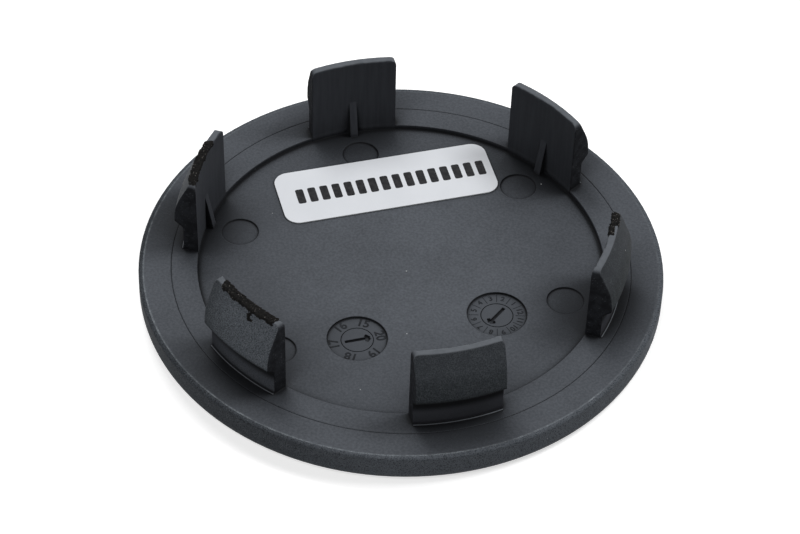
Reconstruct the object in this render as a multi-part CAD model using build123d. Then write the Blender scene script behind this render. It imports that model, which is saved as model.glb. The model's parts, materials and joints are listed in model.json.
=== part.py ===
from build123d import *
import os
from math import hypot, sqrt

# A wheel centre cap, lying face down as on a bench: the show face is on z = 0 and the snap legs
# stand up along +Z. The origin is the middle of the show face, and leg 0 points along +X.
# All sizes are in millimetres.

# Disc: a round plate with a thick rim, whose flange laps over the wheel's face
cap_d = 70.0            # across the rim
rim_t = 4.55            # show face to the back of the flange
front_round = 2.0       # rounded front edge of the rim
back_bevel = 0.2        # bevelled back edge of the rim
flange_w = 5.85         # flange from the legs' stems out to the rim
recess_depth = 0.65     # step from the flange down to the floor inside the legs
front_rim_w = 4.5       # flat ring of the show face, round the seat
seat_depth = 1.7        # shallow round seat in the show face, left bare
seat_bevel = 0.3        # bevelled edge of the seat

# Snap legs: curved plates with a sloped lead-in on the outside, which swells into a barb
leg_count = 6
leg_w = 11.85           # across the parallel ends
leg_h = 11.8            # flange to the leg's top
stem_t = 2.0            # wall at the foot
leg_in = 0.05           # foot of the inner face, inside the edge of the floor
leg_lean = 0.15         # draft of the inner face, outward from its root to the top
tip_t = 0.9             # wall at the top
tip_round = 0.2         # inner edge of the top
corner_round = 0.75     # top corners, seen along the radius
barb_out = 1.15         # barb beyond the stem
barb_h = 5.35           # flange to the barb's crest, where its lead-in ends
swell = 1.85            # length of lead-in and of barb that the curve between them takes up, each
barb_face = 0.4         # upright face under the crest
barb_round = 0.3        # lower edge of that face
undercut_h = 1.0        # that edge down to the straight stem
undercut_round = 0.5    # where the undercut runs into the stem
bead_w = 0.25           # raised bead along the outer foot
bead_h = 0.15

# Gusset rib at the middle of each leg's inner face
rib_t = 1.05
rib_reach = 1.0         # inward along the floor
rib_h = 5.35            # flange to the rib's top

# Marks that the mould leaves
witness_out = 0.36      # fine ring line in the flange, beyond the barbs
witness_w = 0.18
witness_depth = 0.08
pin_d = 5.0             # ejector pin marks, one in line with each leg
pin_in = 4.65           # floor's edge to the middle of a mark
pin_depth = 0.2
dial_d = 8.0            # date dials
dial_depth = 0.3
rotor_d = 4.25          # middle of a dial, which turns in the mould
rotor_gap = 0.12        # groove round it
rotor_depth = 0.1       # groove, below the dial's face
arrow_l = 3.3
arrow_w = 0.45
arrow_head_l = 0.75
arrow_head_deg = 48.0   # each side of the head, from the shaft
arrow_depth = 0.3       # arrow, below the dial's face
dials = (               # in from the floor's edge, angle round the cap, way that the arrow points
    (12.5, -97.5, 30.5),
    (11.9, -19.0, -110.5),
)

# Label stuck on the floor, with its long edges square to the middle of one of the legs
label_l = 30.0
label_w = 10.0
label_t = 0.15
label_round = 2.0
label_deg = 120.0       # that leg's angle round the cap
label_shift = 2.0       # along its length, off that leg's middle
label_gap = 0.2         # floor's edge to its nearer outer corner, taken as square

# What follows from these
rim_r = cap_d / 2
seat_r = rim_r - front_round - front_rim_w
stem_r = rim_r - flange_w
leg_r = stem_r - stem_t
floor_r = leg_r + leg_in
barb_r = stem_r + barb_out
witness_r = barb_r + witness_out
floor_z = rim_t - recess_depth
root_z = (seat_depth + floor_z) / 2     # legs and ribs are rooted half-way into the floor
leg_angles = [360 / leg_count * i for i in range(leg_count)]


def round_the_axis(radius, angle, z):
    """Place at a radius and angle about the cap's axis, with its own X pointing outward."""
    return Pos(Z=z) * Rot(Z=angle) * Pos(X=radius)


def towards(start, target, length):
    """Point at a length from the start, on the straight line to the target."""
    share = length / hypot(target[0] - start[0], target[1] - start[1])
    return start[0] + share * (target[0] - start[0]), start[1] + share * (target[1] - start[1])


def turned(outline):
    """Solid of revolution about the cap's axis, from a closed outline of radius and height."""
    return revolve(Plane.XZ * make_face(outline), Axis.Z)


def disc():
    """The round plate: bare seat in front, rounded rim, flange and recessed floor behind."""
    corners = (
        ((0, seat_depth), 0),
        ((seat_r, seat_depth), 0),
        ((seat_r, seat_bevel), 0),
        ((seat_r + seat_bevel, 0), 0),
        ((rim_r, 0), front_round),
        ((rim_r, rim_t - back_bevel), 0),
        ((rim_r - back_bevel, rim_t), 0),
        ((witness_r + witness_w / 2, rim_t), 0),
        ((witness_r, rim_t - witness_depth), 0),
        ((witness_r - witness_w / 2, rim_t), 0),
        ((floor_r, rim_t), 0),
        ((floor_r, floor_z), 0),
        ((0, floor_z), 0),
    )
    points = [point for point, _ in corners]
    rounds = [radius for _, radius in corners]
    return turned(FilletPolyline(*points, radius=rounds, close=True))


def snap_leg():
    """Leg 0: its section turned about the cap's axis and cut to parallel ends with rounded top corners."""
    top_z = rim_t + leg_h
    bead_z = rim_t + bead_h
    crest_z = rim_t + barb_h
    edge_z = crest_z - barb_face
    crest = (barb_r, crest_z)
    inner_top = (leg_r + leg_lean, top_z)
    tip = (inner_top[0] + tip_t, top_z)
    ramp_end = towards((barb_r, crest_z + swell), tip, swell)
    straights = FilletPolyline(
        crest,
        (barb_r, edge_z),
        (stem_r, edge_z - undercut_h),
        (stem_r, bead_z),
        (stem_r + bead_w, bead_z),
        (stem_r + bead_w, root_z),
        (leg_r, root_z),
        inner_top,
        tip,
        ramp_end,
        radius=[barb_round, undercut_round, 0, 0, 0, 0, tip_round, 0],
    )
    curve = TangentArc(crest, ramp_end, tangent=(0, 1))
    ring = turned(Wire([*straights.edges(), curve]))

    half_w = leg_w / 2
    front = FilletPolyline(
        (-half_w, root_z),
        (half_w, root_z),
        (half_w, top_z),
        (-half_w, top_z),
        radius=[0, 0, corner_round, corner_round],
        close=True,
    )
    return ring & extrude(Plane.YZ * make_face(front), rim_r)


def gusset():
    """Rib of leg 0: a thin triangle from the floor up the leg's inner face, rooted in both."""
    root_r = leg_r + stem_t / 2
    inner_r = leg_r - rib_reach
    top_z = rim_t + rib_h
    outline = Polyline(
        (inner_r, root_z),
        (inner_r, floor_z),
        (leg_r + leg_lean, top_z),
        (root_r, top_z),
        (root_r, root_z),
        close=True,
    )
    return extrude(Plane.XZ * make_face(outline), rib_t / 2, both=True)


def dial(arrow_angle):
    """What one date dial takes out of the floor: a round recess, with a rotor groove and an arrow in it."""
    face = extrude(Circle(dial_d / 2), -dial_depth)
    rotor_r = rotor_d / 2
    groove = Circle(rotor_r + rotor_gap / 2) - Circle(rotor_r - rotor_gap / 2)
    arrow = Rectangle(arrow_l, arrow_w)
    for side in (1, -1):
        barb = Rectangle(arrow_head_l, arrow_w, align=(Align.MAX, Align.CENTER))
        arrow += Pos(X=arrow_l / 2) * Rot(Z=side * arrow_head_deg) * barb
    ring = extrude(groove, -(dial_depth + rotor_depth))
    return face + ring + extrude(Rot(Z=arrow_angle) * arrow, -(dial_depth + arrow_depth))


def cap_body():
    """The whole moulding."""
    body = disc()
    leg, rib = snap_leg(), gusset()
    for angle in leg_angles:
        body += Rot(Z=angle) * leg
        body += Rot(Z=angle) * rib
    pin_mark = extrude(Circle(pin_d / 2), -pin_depth)
    for angle in leg_angles:
        body -= round_the_axis(floor_r - pin_in, angle, floor_z) * pin_mark
    for inset, angle, arrow_angle in dials:
        body -= round_the_axis(floor_r - inset, angle, floor_z) * dial(arrow_angle - angle)
    return body


def label():
    """The label, pushed out along its leg until its nearer corner is label_gap from the floor's edge."""
    half_l = label_l / 2 + abs(label_shift)
    outer_edge = sqrt((floor_r - label_gap) ** 2 - half_l**2)
    place = round_the_axis(outer_edge - label_w / 2, label_deg, floor_z)
    sheet = extrude(RectangleRounded(label_w, label_l, label_round), label_t)
    return place * Pos(Y=-label_shift) * sheet


os.makedirs("parts", exist_ok=True)
export_step(cap_body(), "parts/cap_body.step")
export_step(label(), "parts/label.step")
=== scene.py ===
import json
from math import cos, radians, sin

import bmesh
import bpy
from mathutils import Matrix, Vector, noise


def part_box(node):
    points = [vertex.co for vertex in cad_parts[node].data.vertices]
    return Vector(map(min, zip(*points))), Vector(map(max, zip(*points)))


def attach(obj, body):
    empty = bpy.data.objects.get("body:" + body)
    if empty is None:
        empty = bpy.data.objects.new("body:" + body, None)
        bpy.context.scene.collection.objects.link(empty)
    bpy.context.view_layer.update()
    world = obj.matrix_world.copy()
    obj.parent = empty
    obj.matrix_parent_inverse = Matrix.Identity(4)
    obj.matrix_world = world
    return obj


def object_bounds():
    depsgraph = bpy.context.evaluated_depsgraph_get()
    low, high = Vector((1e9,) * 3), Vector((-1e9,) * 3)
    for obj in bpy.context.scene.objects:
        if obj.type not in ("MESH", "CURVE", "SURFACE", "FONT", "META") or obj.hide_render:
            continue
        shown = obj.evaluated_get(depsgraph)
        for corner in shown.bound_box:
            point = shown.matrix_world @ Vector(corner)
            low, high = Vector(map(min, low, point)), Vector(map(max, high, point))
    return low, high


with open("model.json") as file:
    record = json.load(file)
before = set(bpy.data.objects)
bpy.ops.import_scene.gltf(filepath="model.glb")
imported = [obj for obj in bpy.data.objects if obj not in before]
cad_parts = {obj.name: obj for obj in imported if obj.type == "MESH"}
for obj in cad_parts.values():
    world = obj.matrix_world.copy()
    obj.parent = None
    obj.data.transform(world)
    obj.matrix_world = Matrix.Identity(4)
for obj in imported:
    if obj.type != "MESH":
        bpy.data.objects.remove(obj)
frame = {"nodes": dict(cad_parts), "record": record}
cad_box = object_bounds()
bpy.context.scene.view_settings.view_transform = "Standard"

# The cap: one injection moulding in charcoal plastic, a flanged disc with a ring of barbed snap legs.
# Flat faces come from smooth steel and are satin. The rim and the legs' lead-in ramps come from
# spark-eroded steel and are grained. Its colour carries painted shade in corners, creases and on some
# faces, and painted highlights and glints on edges and grain. The legs' tops are rubbed paler and painted
# with sheen.
MM = 0.001
cap = frame["nodes"]["cap_body"]
mounts = {mount["name"]: mount for mount in frame["record"]["mounts"]}

# Heights, radii and sides that its finish follows
rim_r = cad_box[1].x
leg_top = cad_box[1].z
flange_z = mounts["flange_seat"]["pos_m"][2]
floor_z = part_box("label")[0].z
barb_z = flange_z + 5.35 * MM
# Heights of the painted shadow on the stems under the barbs
stem_shadow_from = flange_z + 2.0 * MM
stem_shadow_to = flange_z + 3.3 * MM
rim_line = rim_r - 0.6 * MM
bead_r = 29.4 * MM
witness_r = 30.66 * MM
# Side whose legs are scuffed and painted lighter
scuff_and_light_side = (cos(radians(250)), sin(radians(250)), 0)
# Side of the rim that is painted in shade
rim_shade_side = (cos(radians(220)), sin(radians(220)), 0)

# Tones, among them lit and shaded copies of the one plastic that paint its light and shade
charcoal = (0.06, 0.0655, 0.0745, 1)
charcoal_pale = (0.098, 0.107, 0.122, 1)
charcoal_shaded = (0.026, 0.0283, 0.0325, 1)
# Painted light and shade: each kind of upright face gets its own tone of the same plastic
charcoal_inner = (0.055, 0.0587, 0.0677, 1)
charcoal_outer = (0.0165, 0.0195, 0.022, 1)
charcoal_stem = (0.052, 0.054, 0.063, 1)
charcoal_end = (0.0135, 0.0143, 0.0167, 1)
charcoal_end_pale = (0.028, 0.03, 0.035, 1)
# Painted shade for corners, creases, pits, the barbs' undersides and the stems below them
charcoal_painted_shade = (0.007, 0.0075, 0.0085, 1)
# The rim's tones: lit, and shaded on one side, as painted light and shade
charcoal_rim_lit = (0.076, 0.0845, 0.097, 1)
charcoal_rim_shaded = (0.027, 0.0303, 0.035, 1)
# Pale tone for scuffs and painted light on the legs' outer faces
scuffed_and_lit_pale = (0.155, 0.172, 0.197, 1)
# Pale tone for painted highlights on edges and beads, and for the legs' tops, paler by wear and painted sheen
worn_and_highlight_pale = (0.114, 0.124, 0.138, 1)
# Grey for painted glints and highlight lines on the cap, and for specks on the label film
glint_and_speck_grey = (0.25, 0.275, 0.295, 1)
dust_white = (0.5, 0.51, 0.52, 1)

# Grain, clouding, dust and soft edges
grain_cell = 0.17 * MM
grain_depth = 0.02 * MM
satin_cell = 0.35 * MM
satin_depth = 0.0045 * MM
patch_size = 7 * MM
mottle_size = 1.1 * MM
drag_size = 0.5 * MM
drag_stretch = (1, 1, 0.06)
speck_spacing = 3.5 * MM
speck_chance = 0.45
edge_soft = 0.3 * MM
rim_soft = 0.6 * MM
crevice = 1.0 * MM
shelter = 18 * MM
ray_samples = 8

# How strongly each mark shows: one share, or the least and the most where a texture breaks it up
satin_share = 0.65
drag_share = 0.3
rim_shade_share = 0.7
crest_shade_share = 0.55
pit_shade_share = 0.6
edge_highlight_share = 0.5
speck_share = 0.6
painted_side_light_share = 0.14
rim_sparkle_share = 0.3
end_glint_share = 0.4
dial_range = (0.0, 0.35)
scuff_range = (0.25, 0.7)
crest_glint_range = (0.02, 0.1)
glint_range = (0.05, 0.9)
border_side_range = (0.3, 1.0)
border_range = (0.1, 0.8)
land_range = (0.6, 1.0)
crease_range = (0.8, 0.3)

# Sheen
satin_rough = (0.5, 0.56)
grain_rough = 0.66
end_rough = 0.95
burnished_rough = 0.4
cap_specular = 0.05


def feed(tree, node, sockets):
    """Gives each named socket of a node a value, or a link from another node."""
    for name, value in sockets.items():
        if isinstance(value, bpy.types.NodeSocket):
            tree.links.new(value, node.inputs[name])
        else:
            node.inputs[name].default_value = value


def put(tree, kind, sockets=None, **settings):
    """Puts a shader node in a tree, with its settings, and feeds its sockets."""
    node = tree.nodes.new("ShaderNode" + kind)
    for name, value in settings.items():
        setattr(node, name, value)
    feed(tree, node, sockets or {})
    return node


def sum_of(tree, operation, first, second):
    """One step of arithmetic on two values."""
    return put(tree, "Math", {0: first, 1: second}, operation=operation).outputs[0]


def both(tree, first, *others):
    """The share that is left where several shares meet."""
    for other in others:
        first = sum_of(tree, "MULTIPLY", first, other)
    return first


def either(tree, first, second):
    """The larger of two shares."""
    return sum_of(tree, "MAXIMUM", first, second)


def rise(tree, value, low, high):
    """A soft step from 0 at low to 1 at high."""
    limits = {"Value": value, "From Min": low, "From Max": high}
    return put(tree, "MapRange", limits, interpolation_type="SMOOTHSTEP").outputs["Result"]


def over(tree, share, under, top):
    """One colour laid over another by a share."""
    return put(tree, "Mix", {0: share, 6: under, 7: top}, data_type="RGBA").outputs[2]


def between(tree, share, low, high):
    """A value between two others by a share."""
    return put(tree, "Mix", {0: share, 2: low, 3: high}, data_type="FLOAT").outputs[0]


def along(tree, vector, direction):
    """How far a vector points along a direction."""
    return put(tree, "VectorMath", {0: vector, 1: direction}, operation="DOT_PRODUCT").outputs["Value"]


def scaled(tree, vector, factors):
    """A vector with each of its parts multiplied."""
    return put(tree, "VectorMath", {0: vector, 1: factors}, operation="MULTIPLY").outputs[0]


def open_within(tree, distance):
    """How open a place is to what lies within a distance: 1 in the open, less in a corner."""
    return put(tree, "AmbientOcclusion", {"Distance": distance}, samples=ray_samples).outputs["AO"]


def new_effect(name, inputs, outputs):
    """An empty node group with its named sockets: its tree, and the ends to link from and to."""
    tree = bpy.data.node_groups.new(name, "ShaderNodeTree")
    for socket, kind, value in inputs:
        tree.interface.new_socket(socket, in_out="INPUT", socket_type=kind).default_value = value
    for socket in outputs:
        tree.interface.new_socket(socket, in_out="OUTPUT", socket_type="NodeSocketFloat")
    return tree, tree.nodes.new("NodeGroupInput").outputs, tree.nodes.new("NodeGroupOutput").inputs


def use(tree, effect, **inputs):
    """Places an effect in a material and returns its outputs."""
    node = tree.nodes.new("ShaderNodeGroup")
    node.node_tree = effect
    feed(tree, node, inputs)
    return node.outputs


def new_finish(name):
    """A material with a bare Principled shader: the material, its tree, the shader and coordinates."""
    material = bpy.data.materials.new(name)
    material.use_nodes = True
    tree = material.node_tree
    return material, tree, tree.nodes["Principled BSDF"], put(tree, "TexCoord").outputs


def noise_of(tree, place, scale, detail, roughness):
    """A cloudy noise over a place."""
    sockets = {"Vector": place, "Scale": scale, "Detail": detail, "Roughness": roughness}
    return put(tree, "TexNoise", sockets).outputs["Fac"]


def spark_grain_effect():
    """Fine pitted grain: a height, and the few cells whose crests glint."""
    inputs = [("Place", "NodeSocketVector", (0, 0, 0)), ("Cell", "NodeSocketFloat", 0.001)]
    tree, start, end = new_effect("spark grain", inputs, ["Height", "Glint"])
    density = sum_of(tree, "DIVIDE", 1.0, start["Cell"])
    cells = put(tree, "TexVoronoi", {"Vector": start["Place"], "Scale": density}).outputs
    tone = put(tree, "SeparateColor", {"Color": cells["Color"]}).outputs[0]
    crest = rise(tree, cells["Distance"], 0.5, 0.15)
    tree.links.new(noise_of(tree, start["Place"], density, 2.0, 0.6), end["Height"])
    tree.links.new(both(tree, crest, rise(tree, tone, 0.75, 0.95)), end["Glint"])
    return tree


def clouding_effect():
    """Slow uneven patches, as a melt leaves in a plastic or rubbing leaves on a sheet."""
    inputs = [("Place", "NodeSocketVector", (0, 0, 0)), ("Patch", "NodeSocketFloat", 0.01)]
    tree, start, end = new_effect("clouding", inputs, ["Share"])
    density = sum_of(tree, "DIVIDE", 1.0, start["Patch"])
    cloud = noise_of(tree, start["Place"], density, 4.0, 0.55)
    tree.links.new(rise(tree, cloud, 0.3, 0.7), end["Share"])
    return tree


def dust_effect():
    """Single specks of dust, one in some of the cells of a loose net."""
    inputs = [
        ("Place", "NodeSocketVector", (0, 0, 0)),
        ("Spacing", "NodeSocketFloat", 0.003),
        ("Share", "NodeSocketFloat", 0.3),
    ]
    tree, start, end = new_effect("dust", inputs, ["Speck"])
    density = sum_of(tree, "DIVIDE", 1.0, start["Spacing"])
    cells = put(tree, "TexVoronoi", {"Vector": start["Place"], "Scale": density}).outputs
    chance = put(tree, "SeparateColor", {"Color": cells["Color"]}).outputs
    here = sum_of(tree, "LESS_THAN", chance[0], start["Share"])
    size = between(tree, chance[1], 0.012, 0.035)
    speck = sum_of(tree, "LESS_THAN", cells["Distance"], size)
    tree.links.new(both(tree, here, speck), end["Speck"])
    return tree


spark_grain = spark_grain_effect()
clouding = clouding_effect()
dust = dust_effect()


def cap_plastic():
    """Charcoal moulded plastic: satin, grained on the rim and the ramps, with painted light and shade in its
    tones; the legs' tops are paler by wear and painted sheen.
    """
    material, tree, shader, coordinates = new_finish("cap_plastic_moulded")
    place, facing = coordinates["Object"], coordinates["Normal"]
    height = put(tree, "SeparateXYZ", {0: place}).outputs[2]
    flat = scaled(tree, place, (1, 1, 0))
    radius = put(tree, "VectorMath", {0: flat}, operation="LENGTH").outputs["Value"]
    radial = put(tree, "VectorMath", {0: flat}, operation="NORMALIZE").outputs[0]
    softness = between(tree, rise(tree, radius, rim_r - 2 * MM, rim_r - MM), edge_soft, rim_soft)
    rounded = put(tree, "Bevel", {"Radius": softness}, samples=ray_samples).outputs[0]
    upward = put(tree, "SeparateXYZ", {0: rounded}).outputs[2]
    outward = along(tree, facing, radial)

    # The faces of the moulding
    level = rise(tree, upward, 0.5, 0.9)
    steep = rise(tree, upward, 0.8, 0.2)
    outer = rise(tree, outward, 0.3, 0.6)
    inner = rise(tree, outward, -0.6, -0.8)
    ends = both(tree, steep, rise(tree, either(tree, outer, inner), 0.8, 0.2))
    on_rim = rise(tree, radius, rim_line, rim_line + 0.12 * MM)
    on_leg = rise(tree, height, flange_z + 0.3 * MM, flange_z + 0.6 * MM)
    over_barb = rise(tree, height, barb_z - 0.6 * MM, barb_z - 0.4 * MM)
    ramp = both(tree, outer, over_barb)
    grained = either(tree, either(tree, on_rim, ramp), rise(tree, upward, -0.3, -0.7))
    crest = both(tree, rise(tree, height, barb_z + 0.3 * MM, barb_z - 0.4 * MM), ramp)
    # Painted shade on faces turned down and on the barbs' crests
    shade_under_barb = both(tree, rise(tree, upward, 0.1, -0.3), on_leg)
    shade_under_barb = either(tree, shade_under_barb, both(tree, crest, crest_shade_share))
    land = both(tree, rise(tree, height, leg_top - 0.3 * MM, leg_top - 0.02 * MM), level)
    below_floor = rise(tree, height, floor_z - 0.22 * MM, floor_z - 0.27 * MM)
    on_dial = both(tree, below_floor, rise(tree, upward, 0.5, 0.8))
    past_witness = rise(tree, radius, witness_r - 0.25 * MM, witness_r - 0.15 * MM)

    # Thin lines, painted as highlights: the bead along the legs' feet and the border of the rim
    over_flange = rise(tree, height, flange_z + 0.06 * MM, flange_z + 0.12 * MM)
    under_stem = rise(tree, height, flange_z + 0.3 * MM, flange_z + 0.2 * MM)
    bead_edge = rise(tree, radius, bead_r - 0.14 * MM, bead_r - 0.08 * MM)
    bead = both(tree, over_flange, under_stem, bead_edge)
    border = both(tree, rise(tree, radius, rim_line - 0.25 * MM, rim_line), level)
    border = sum_of(tree, "SUBTRACT", border, on_rim)

    # Scuffs with painted light, painted shade on one side of the rim and in corners, and painted edge
    # highlights
    beside = along(tree, radial, scuff_and_light_side)
    # Painted light: the outer faces of the legs on one side turn paler, one leg most, with scuffs
    painted_side_light = both(tree, rise(tree, beside, -0.05, 0.1), painted_side_light_share)
    scuff_and_light = both(tree, either(tree, rise(tree, beside, 0.9, 0.99), painted_side_light), outer, on_leg)
    stem_foot = rise(tree, height, flange_z + 3.5 * MM, flange_z + MM)
    scuff_and_light = both(tree, scuff_and_light, between(tree, over_barb, stem_foot, 1.0))
    # Painted shade on one side of the rim
    dull = both(tree, rise(tree, along(tree, radial, rim_shade_side), 0.45, 0.85), rim_shade_share)
    clear_near = open_within(tree, crevice)
    clear_far = open_within(tree, shelter)
    near_top = rise(tree, height, leg_top - 1.2 * MM, leg_top - 0.6 * MM)
    # Painted highlight along convex edges near the legs' tops
    bend = rise(tree, along(tree, rounded, facing), 0.98, 0.86)
    edge = both(tree, bend, rise(tree, clear_near, 0.35, 0.6), near_top)
    crease_shade = both(tree, rise(tree, clear_near, 0.93, 0.6), rise(tree, height, leg_top, barb_z))

    # Textures
    grain = use(tree, spark_grain, Place=place, Cell=grain_cell)
    pits = rise(tree, grain["Height"], 0.35, 0.6)
    patches = use(tree, clouding, Place=place, Patch=patch_size)["Share"]
    satin = use(tree, clouding, Place=place, Patch=satin_cell)["Share"]
    mottle = use(tree, clouding, Place=place, Patch=mottle_size)["Share"]
    drag = use(tree, clouding, Place=scaled(tree, place, drag_stretch), Patch=drag_size)["Share"]
    specks = use(tree, dust, Place=place, Spacing=speck_spacing, Share=speck_chance)["Speck"]

    # Flat faces, then upright ones, then the rim, each kind of face in a tone that paints its light and shade
    colour = over(tree, between(tree, satin_share, patches, satin), charcoal, charcoal_pale)
    # Painted shade: flat faces turn darker towards the legs and darkest at their feet
    shade = over(tree, rise(tree, clear_far, 0.4, 0.68), charcoal_painted_shade, charcoal_shaded)
    colour = over(tree, rise(tree, clear_far, 0.65, 1.0), shade, colour)
    # Painted shade: the dials' recessed faces are darker in patches
    colour = over(tree, both(tree, on_dial, between(tree, satin, *dial_range)), colour, charcoal_shaded)
    upright = over(tree, both(tree, drag, drag_share), charcoal_inner, charcoal_shaded)
    colour = over(tree, steep, colour, upright)
    # Painted shadow: the stems turn nearly black towards the barbs above them
    stem = over(tree, rise(tree, height, stem_shadow_from, stem_shadow_to), charcoal_stem, charcoal_painted_shade)
    leg_outside = over(tree, over_barb, stem, charcoal_outer)
    colour = over(tree, both(tree, steep, outer), colour, leg_outside)
    colour = over(tree, ends, colour, over(tree, mottle, charcoal_end, charcoal_end_pale))
    # The rim in a lit tone, and in a shaded tone on one side, as painted light and shade
    colour = over(tree, on_rim, colour, over(tree, dull, charcoal_rim_lit, charcoal_rim_shaded))

    # Grain: scuffs with painted light, painted shade in pits and painted glints
    # Scuffs and painted light on the legs' outer faces
    colour = over(tree, both(tree, scuff_and_light, between(tree, pits, *scuff_range)), colour, scuffed_and_lit_pale)
    # Painted shade in the pits of the rim's grain
    shaded_pits = both(tree, on_rim, rise(tree, grain["Height"], 0.5, 0.35))
    colour = over(tree, both(tree, shaded_pits, pit_shade_share), colour, charcoal_painted_shade)
    # Painted glints on the grain's crests, on the scuffed ramps, the rim and the legs' ends
    crests = both(tree, rise(tree, grain["Height"], 0.4, 0.65), between(tree, mottle, *crest_glint_range))
    sparkle = either(tree, scuff_and_light, both(tree, on_rim, rim_sparkle_share))
    glints = both(tree, grain["Glint"], between(tree, sparkle, *glint_range))
    glints = both(tree, either(tree, glints, crests), grained)
    end_glints = both(tree, grain["Glint"], mottle, ends, end_glint_share)
    colour = over(tree, either(tree, glints, end_glints), colour, glint_and_speck_grey)

    # Painted shade under the barbs and in creases, painted highlights on the border, edges and beads, the
    # legs' tops, and dust
    # Painted shade under the barbs
    colour = over(tree, shade_under_barb, colour, charcoal_painted_shade)
    # Painted highlight along the rim's border, broken up by the grain and stronger on one side
    painted_border_highlight = both(tree, border, between(tree, rise(tree, beside, -0.4, 0.3), *border_side_range))
    painted_border_highlight = both(tree, painted_border_highlight, between(tree, both(tree, mottle, pits), *border_range))
    colour = over(tree, painted_border_highlight, colour, glint_and_speck_grey)
    # Painted highlight on edges
    colour = over(tree, both(tree, edge, edge_highlight_share), colour, worn_and_highlight_pale)
    # The legs' tops: paler by wear and by painted sheen
    colour = over(tree, both(tree, land, between(tree, mottle, *land_range)), colour, worn_and_highlight_pale)
    # Painted shade in creases and along small steps, fainter from the witness line outward
    crease_shade = both(tree, crease_shade, between(tree, past_witness, *crease_range))
    colour = over(tree, crease_shade, colour, charcoal_painted_shade)
    # Painted highlight along the bead at the legs' feet
    colour = over(tree, bead, colour, worn_and_highlight_pale)
    colour = over(tree, both(tree, specks, speck_share), colour, dust_white)

    roughness = between(tree, patches, *satin_rough)
    roughness = between(tree, grained, roughness, grain_rough)
    roughness = between(tree, ends, roughness, end_rough)
    roughness = between(tree, either(tree, land, bead), roughness, burnished_rough)

    fine = put(tree, "Bump", {"Height": satin, "Distance": satin_depth, "Normal": rounded}).outputs[0]
    pitting = both(tree, grain["Height"], grained)
    coarse = put(tree, "Bump", {"Height": pitting, "Distance": grain_depth, "Normal": fine}).outputs[0]
    feed(tree, shader, {"Base Color": colour, "Roughness": roughness, "Normal": coarse})
    shader.inputs["Specular IOR Level"].default_value = cap_specular
    return material


cap.data.materials[0] = cap_plastic()

# Figures of the two date dials: the mould's turning inserts leave them standing on the dials' faces, in
# the same plastic. One dial has two-figure numbers, the other has 1 to 12 with lines between them.
dial_face = floor_z - 0.30 * MM
year_dial = Matrix.Rotation(radians(-97.5), 3, "Z") @ Vector((14.7 * MM, 0, dial_face))
month_dial = Matrix.Rotation(radians(-19.0), 3, "Z") @ Vector((15.3 * MM, 0, dial_face))
figure_lift = 0.03 * MM
figure_line = (1.3 * MM, 0.06 * MM, 1.2 * figure_lift)
# Darker than the plastic: painted shade of the figures' strokes
figure_shade_colour = (0.013, 0.0138, 0.0155, 1)
figure_patch = 0.8 * MM
figure_rough = (0.75, 0.85)
figure_specular = 0.08


def raised_text(target, text, size, weight, place):
    """Adds one number to a mesh, as flat-topped strokes standing on the face under them."""
    curve = bpy.data.curves.new("figure", "FONT")
    curve.body = text
    curve.size = size
    curve.offset = weight
    curve.extrude = figure_lift
    curve.align_x = "CENTER"
    curve.align_y = "CENTER"
    holder = bpy.data.objects.new("figure", curve)
    mesh = bpy.data.meshes.new_from_object(holder)
    mesh.transform(place)
    target.from_mesh(mesh)
    bpy.data.objects.remove(holder)
    bpy.data.curves.remove(curve)
    bpy.data.meshes.remove(mesh)


def new_piece(name, shape, finish):
    """Turns a finished shape into an object of the scene with its finish."""
    mesh = bpy.data.meshes.new(name)
    shape.to_mesh(mesh)
    shape.free()
    mesh.materials.append(finish)
    piece = bpy.data.objects.new(name, mesh)
    bpy.context.scene.collection.objects.link(piece)
    return piece


def dial_figures(name, centre, numbers, first_angle, radius, size, weight, lines):
    """Numbers round one dial, their tops outward, with or without thin lines between them."""
    shape = bmesh.new()
    step = 360 / len(numbers)
    out = Matrix.Translation((radius, 0, 0))
    for i, number in enumerate(numbers):
        turn = Matrix.Translation(centre) @ Matrix.Rotation(radians(first_angle + step * i), 4, "Z")
        raised_text(shape, str(number), size, weight, turn @ out @ Matrix.Rotation(radians(-90), 4, "Z"))
        if lines:
            beside = turn @ Matrix.Rotation(radians(step / 2), 4, "Z") @ out
            bmesh.ops.create_cube(shape, size=1, matrix=beside @ Matrix.Diagonal((*figure_line, 1)))
    figures = new_piece(name, shape, rough_cut)
    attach(figures, "root")


def figure_plastic():
    """The same plastic from rough-cut steel, which takes away its sheen, in a darker tone as painted shade.
    """
    material, tree, shader, coordinates = new_finish("cap_plastic_rough_cut")
    patches = use(tree, clouding, Place=coordinates["Object"], Patch=figure_patch)["Share"]
    colour = over(tree, patches, figure_shade_colour, charcoal_shaded)
    feed(tree, shader, {"Base Color": colour, "Roughness": between(tree, patches, *figure_rough)})
    shader.inputs["Specular IOR Level"].default_value = figure_specular
    return material


rough_cut = figure_plastic()
dial_figures(
    "date_dial_year_figures", year_dial, (18, 19, 20, 15, 16, 17),
    first_angle=-89, radius=3.05 * MM, size=1.75 * MM, weight=0.02 * MM, lines=False,
)
dial_figures(
    "date_dial_month_figures", month_dial, range(1, 13),
    first_angle=60, radius=3.1 * MM, size=1.1 * MM, weight=0, lines=True,
)

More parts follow.
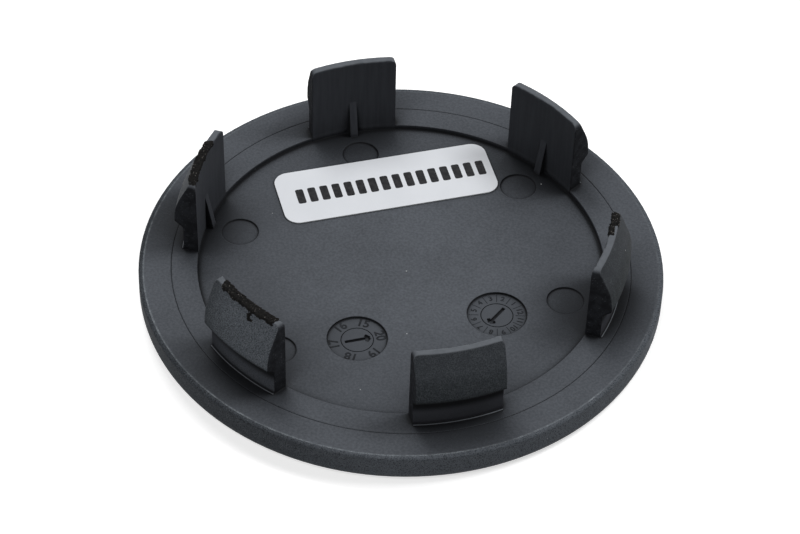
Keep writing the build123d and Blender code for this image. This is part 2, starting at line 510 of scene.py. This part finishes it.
# Torn scars on three of the legs' tops, where the runners of the moulding were broken off: ragged dark
# crusts of the same plastic that cover the land and run a little over its edges.
leg_r = 27.3 * MM
land_w = 0.9 * MM
ramp_tilt = radians(24.54)
scar_pitch = 0.08 * MM
scar_margin = 0.4 * MM
scar_border = 0.22      # millimetres over which a crust thins out
scar_tuck = 0.25        # how far its border dips under the leg's face, in shares of its thickness
scar_reach = -0.5       # cover at which its net ends
ragged_waves = ((0.26, 1.9), (0.16, 5.3))
crumb_waves = ((0.5, 3.7), (0.4, 8.9))
crumb_mean = 0.55
crumb_least = 0.12
lean_inside = Vector((-0.2, 0, 0))
lean_on_top = Vector((0, 0, 0.35))
scar_black = (0.004, 0.004, 0.0042, 1)
scar_brown = (0.014, 0.0135, 0.013, 1)
crumb_grey = (0.13, 0.122, 0.114, 1)
crumb_size = 0.22 * MM
crumb_depth = 0.06 * MM
torn_patch = 0.35 * MM
torn_rough = (0.7, 0.95)
torn_specular = 0.05


def leg_top_point(along_leg, across):
    """Point and outward direction on leg 0's top: across runs from the inner edge over land and ramp."""
    if across < 0:
        radius, z, normal = leg_r, leg_top + across, Vector((-1, 0, 0))
    elif across < land_w:
        radius, z, normal = leg_r + across, leg_top, Vector((0, 0, 1))
    else:
        down = across - land_w
        radius, z = leg_r + land_w + down * sin(ramp_tilt), leg_top - down * cos(ramp_tilt)
        normal = Vector((cos(ramp_tilt), 0, sin(ramp_tilt)))
    return Vector(((radius**2 - along_leg**2) ** 0.5, along_leg, z)), normal


def waves(seed, parts):
    """Uneven waves at a place, as a sum of parts that each have a height and a closeness."""
    return sum(height * noise.noise(seed * closeness) for height, closeness in parts)


def crust_height(cover, seed):
    """Height of a crust in shares of its thickness: crumbly inside, tucked under at its border."""
    if cover > 0:
        return min(cover, 1) * max(crumb_mean + waves(seed, crumb_waves), crumb_least)
    return scar_tuck * max(cover, -1)


def scar(name, leg_angle, tears, thickness):
    """A crust over one leg's top: a fine net over the tears' rectangles, ragged at its borders."""
    lowest = [min(tear[i] for tear in tears) - scar_margin for i in (0, 2)]
    highest = [max(tear[i] for tear in tears) + scar_margin for i in (1, 3)]
    columns, rows = (int((high - low) / scar_pitch) for low, high in zip(lowest, highest))
    turn = Matrix.Rotation(radians(leg_angle), 3, "Z")
    shape = bmesh.new()
    net = {}
    for i in range(columns + 1):
        for j in range(rows + 1):
            along_leg, across = lowest[0] + i * scar_pitch, lowest[1] + j * scar_pitch
            seed = Vector((along_leg, across, radians(leg_angle) * MM)) / MM
            inside = max(min(along_leg - a, b - along_leg, across - c, d - across) for a, b, c, d in tears)
            cover = (inside / MM + waves(seed, ragged_waves)) / scar_border
            point, normal = leg_top_point(along_leg, across)
            lean = lean_inside if across < 0 else lean_on_top
            lift = thickness * crust_height(cover, seed) * (normal + lean).normalized()
            net[i, j] = cover, shape.verts.new(turn @ (point + lift))
    for i in range(columns):
        for j in range(rows):
            corners = [net[i, j], net[i + 1, j], net[i + 1, j + 1], net[i, j + 1]]
            if max(cover for cover, _ in corners) > scar_reach:
                shape.faces.new([vertex for _, vertex in corners])
    bmesh.ops.delete(shape, geom=[v for v in shape.verts if not v.link_faces], context="VERTS")
    crust = new_piece(name, shape, torn)
    crust.data.shade_smooth()
    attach(crust, "root")


def torn_plastic():
    """Torn plastic: dull black with brownish crumbs."""
    material, tree, shader, coordinates = new_finish("cap_plastic_torn")
    place = coordinates["Object"]
    grain = use(tree, spark_grain, Place=place, Cell=crumb_size)
    patches = use(tree, clouding, Place=place, Patch=torn_patch)["Share"]
    colour = over(tree, patches, scar_black, scar_brown)
    colour = over(tree, grain["Glint"], colour, crumb_grey)
    roughness = between(tree, patches, *torn_rough)
    crumbs = put(tree, "Bump", {"Height": grain["Height"], "Distance": crumb_depth}).outputs[0]
    feed(tree, shader, {"Base Color": colour, "Roughness": roughness, "Normal": crumbs})
    shader.inputs["Specular IOR Level"].default_value = torn_specular
    return material


torn = torn_plastic()

# Each tear is a rectangle on its leg's top: from and to along the leg, then from and to across it
front_tears = (
    (-4.6 * MM, 5.0 * MM, -0.35 * MM, 1.35 * MM),
    (1.1 * MM, 1.65 * MM, 1.3 * MM, 2.5 * MM),
    (1.15 * MM, 2.1 * MM, 2.1 * MM, 2.5 * MM),
)
left_tears = ((-3.2 * MM, 5.3 * MM, -0.35 * MM, 1.3 * MM),)
right_tears = (
    (2.9 * MM, 5.4 * MM, -0.1 * MM, 1.2 * MM),
    (1.2 * MM, 3.3 * MM, -0.5 * MM, 0.6 * MM),
)
scar("scar_front_leg", 240, front_tears, thickness=0.3 * MM)
scar("scar_left_leg", 180, left_tears, thickness=0.25 * MM)
scar("scar_right_leg", 0, right_tears, thickness=0.32 * MM)

# The label: a small die-cut sticker of matt white film on the cap's floor, pressed down by hand.
# Its print is a plain row of black bars in a thin layer of ink.
label = frame["nodes"]["label"]
label_low, label_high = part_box("label")
label_middle = (label_low + label_high) / 2
label_turn = radians(30)
film_white = (0.65, 0.67, 0.705, 1)
film_grey = (0.61, 0.63, 0.665, 1)
film_patch = 5 * MM
film_grey_share = 0.4
film_rough = (0.55, 0.65)
film_speck_spacing = 3 * MM
film_speck_chance = 0.2
film_speck_share = 0.5
fibre_size = 0.4 * MM
fibre_depth = 0.004 * MM
ink_black = (0.012, 0.012, 0.014, 1)
ink_grey = (0.03, 0.03, 0.032, 1)
ink_patch = 0.6 * MM
ink_rough = (0.5, 0.6)
ink_specular = 0.08
ink_t = 0.01 * MM
bar_count = 16
bar_pitch = 1.7 * MM
bar_size = (1.1 * MM, 2.8 * MM)
bar_round = 0.25 * MM
bars_off_middle = 0.7 * MM


def film():
    """Matt film: nearly white, slightly clouded, with a few specks."""
    material, tree, shader, coordinates = new_finish("label_film_matt")
    place = coordinates["Object"]
    patches = use(tree, clouding, Place=place, Patch=film_patch)["Share"]
    fibres = use(tree, clouding, Place=place, Patch=fibre_size)["Share"]
    specks = use(tree, dust, Place=place, Spacing=film_speck_spacing, Share=film_speck_chance)["Speck"]
    colour = over(tree, both(tree, patches, film_grey_share), film_white, film_grey)
    colour = over(tree, both(tree, specks, film_speck_share), colour, glint_and_speck_grey)
    roughness = between(tree, patches, *film_rough)
    bump = put(tree, "Bump", {"Height": fibres, "Distance": fibre_depth}).outputs[0]
    feed(tree, shader, {"Base Color": colour, "Roughness": roughness, "Normal": bump})
    return material


def ink():
    """Printing ink: black, thinner in places."""
    material, tree, shader, coordinates = new_finish("label_ink")
    patches = use(tree, clouding, Place=coordinates["Object"], Patch=ink_patch)["Share"]
    colour = over(tree, patches, ink_black, ink_grey)
    feed(tree, shader, {"Base Color": colour, "Roughness": between(tree, patches, *ink_rough)})
    shader.inputs["Specular IOR Level"].default_value = ink_specular
    return material


def printed_bars():
    """The row of bars, each a thin block of ink on the film with rounded corners."""
    shape = bmesh.new()
    on_film = Matrix.Translation((label_middle.x, label_middle.y, label_high.z))
    on_film = on_film @ Matrix.Rotation(label_turn, 4, "Z")
    for i in range(bar_count):
        shift = bars_off_middle + (i - (bar_count - 1) / 2) * bar_pitch
        place = on_film @ Matrix.Translation((shift, 0, ink_t / 2)) @ Matrix.Diagonal((*bar_size, ink_t, 1))
        bmesh.ops.create_cube(shape, size=1, matrix=place)
    corners = [edge for edge in shape.edges if abs(edge.verts[0].co.z - edge.verts[1].co.z) > ink_t / 2]
    bmesh.ops.bevel(shape, geom=corners, offset=bar_round, segments=4, affect="EDGES", profile=0.5)
    return shape


label.data.materials[0] = film()
label_print = new_piece("label_print", printed_bars(), ink())
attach(label_print, "root")

# The table: a wide sheet of white paper under the cap. The camera sees it as white, and it keeps the
# soft shadow round the rim.
table_half = 1.5
table_drop = 0.05 * MM
paper_white = (1, 1, 1, 1)
paper_grey = (0.7, 0.7, 0.7, 1)
paper_glow = 0.63


def seen_directly(tree):
    """1 for what the camera sees, by itself, in a reflection or through glass, and 0 for plain light."""
    rays = put(tree, "LightPath").outputs
    seen = either(tree, rays["Is Camera Ray"], rays["Is Transmission Ray"])
    return either(tree, seen, rays["Is Glossy Ray"])


def paper():
    """Paper that the camera and reflections see as white, with the shadows that fall on it."""
    material = bpy.data.materials.new("table_paper")
    material.use_nodes = True
    tree = material.node_tree
    tree.nodes.clear()
    matt = put(tree, "BsdfDiffuse", {"Color": paper_grey}).outputs[0]
    white = put(tree, "Emission", {"Color": paper_white, "Strength": paper_glow}).outputs[0]
    lit = put(tree, "AddShader", {0: matt, 1: white}).outputs[0]
    mixed = put(tree, "MixShader", {0: seen_directly(tree), 1: matt, 2: lit}).outputs[0]
    put(tree, "OutputMaterial", {"Surface": mixed})
    return material


table_mesh = bpy.data.meshes.new("table")
table_sides = ((-1, -1), (1, -1), (1, 1), (-1, 1))
table_corners = [(x * table_half, y * table_half, -table_drop) for x, y in table_sides]
table_mesh.from_pydata(table_corners, [], [(0, 1, 2, 3)])
table_mesh.materials.append(paper())
table = bpy.data.objects.new("table", table_mesh)
bpy.context.scene.collection.objects.link(table)

# Studio light: three soft boxes above the cap, at its right, back and front, and a faint even light all
# round. What the camera and reflections see beyond the table is white.
camera_azimuth = 14.25
box_distance = 0.7
box_size = 0.25
sky_grey = (0.01, 0.01, 0.01, 1)
backdrop_white = (1, 1, 1, 1)

world = bpy.data.worlds.new("studio")
bpy.context.scene.world = world
world.use_nodes = True
sky_tree = world.node_tree
sky = sky_tree.nodes["Background"]
sky.inputs["Color"].default_value = sky_grey
backdrop = put(sky_tree, "Background", {"Color": backdrop_white, "Strength": 1.0})
shown = put(sky_tree, "MixShader", {0: seen_directly(sky_tree), 1: sky.outputs[0], 2: backdrop.outputs[0]})
sky_tree.links.new(shown.outputs[0], sky_tree.nodes["World Output"].inputs["Surface"])


def soft_box(name, azimuth, elevation, power):
    """A square lamp that looks at the cap: azimuth is 0 at the camera's side and grows to its right."""
    lamp = bpy.data.lights.new(name, "AREA")
    lamp.size = box_size
    lamp.energy = power
    box = bpy.data.objects.new(name, lamp)
    turn = Matrix.Rotation(radians(camera_azimuth + azimuth), 4, "Z")
    aim = turn @ Matrix.Rotation(radians(90 - elevation), 4, "X")
    box.matrix_world = aim @ Matrix.Translation((0, 0, box_distance))
    bpy.context.scene.collection.objects.link(box)


soft_box("soft_box_right", azimuth=100, elevation=55, power=2.6)
soft_box("soft_box_back", azimuth=205, elevation=61, power=2.0)
soft_box("soft_box_front", azimuth=336, elevation=55, power=1.35)

# The camera: a long lens that looks down on the cap from a little below half-way up. It is held a little
# under two degrees out of level.
camera_elevation = 44.897
camera_roll = 1.794
camera_place = Vector((-0.000161, -0.280648, 0.283298))
camera_data = bpy.data.cameras.new("camera")
camera_data.sensor_width = 36
camera_data.lens = 133.335
camera_data.clip_start = 0.01
camera = bpy.data.objects.new("camera", camera_data)
round_to_camera = Matrix.Rotation(radians(camera_azimuth), 4, "Z")
tilt = Matrix.Rotation(radians(90 - camera_elevation), 4, "X") @ Matrix.Rotation(radians(camera_roll), 4, "Z")
camera.matrix_world = round_to_camera @ Matrix.Translation(camera_place) @ tilt
bpy.context.scene.collection.objects.link(camera)
bpy.context.scene.camera = camera
